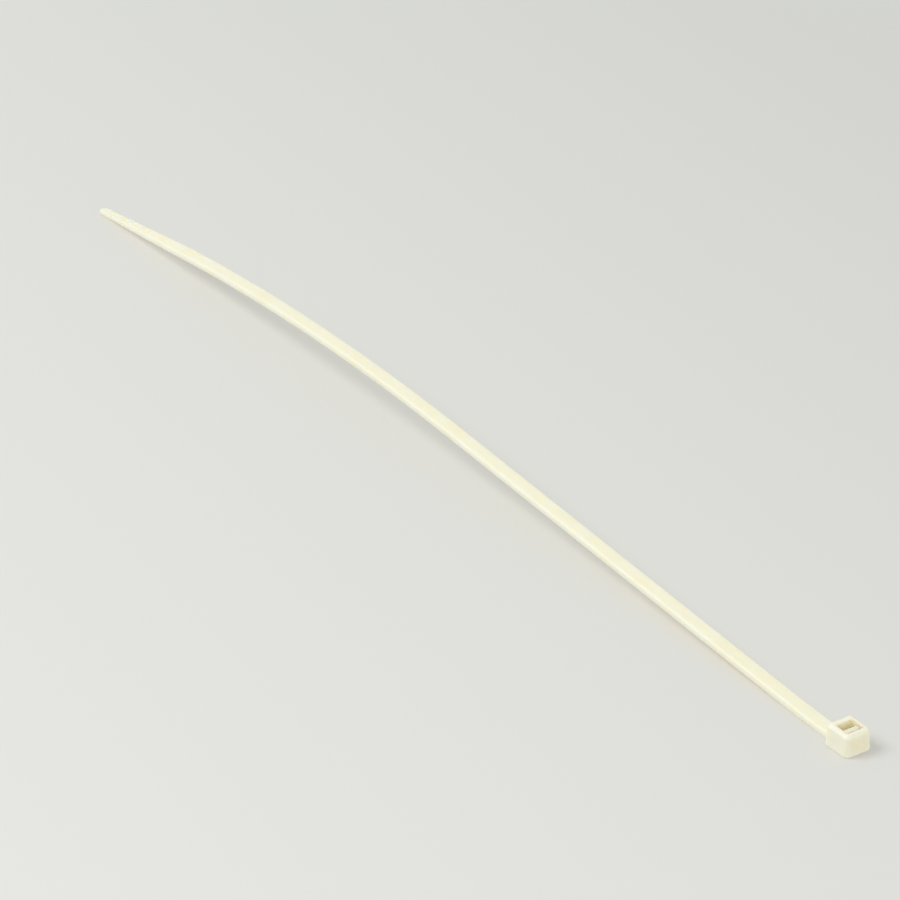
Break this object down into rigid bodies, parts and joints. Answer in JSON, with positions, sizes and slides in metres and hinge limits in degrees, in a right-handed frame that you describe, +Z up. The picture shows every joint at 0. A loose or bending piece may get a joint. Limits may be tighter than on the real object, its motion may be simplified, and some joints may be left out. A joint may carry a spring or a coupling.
{
  "type": "cable tie",
  "caption": "Self-locking cable tie in natural nylon, moulded in one piece: block head with a spring pawl, low-bowed strap with ratchet teeth underneath, tapered grooved tail.",
  "frame": {"origin": "middle of the strap passage on the entry face of the head, which is the plane the tie rests on", "axes": "+X from the head along the strap to the tail, +Y across the strap, +Z up from the toothed side to the smooth side and out of the exit face"},
  "size_m": [0.1997, 0.0046, 0.0069],
  "materials": {
    "nylon": "natural ivory nylon, slightly translucent, softly glossy as moulded"
  },
  "bodies": {
    "root": {"cable_tie": "nylon"}
  },
  "joints": []
}
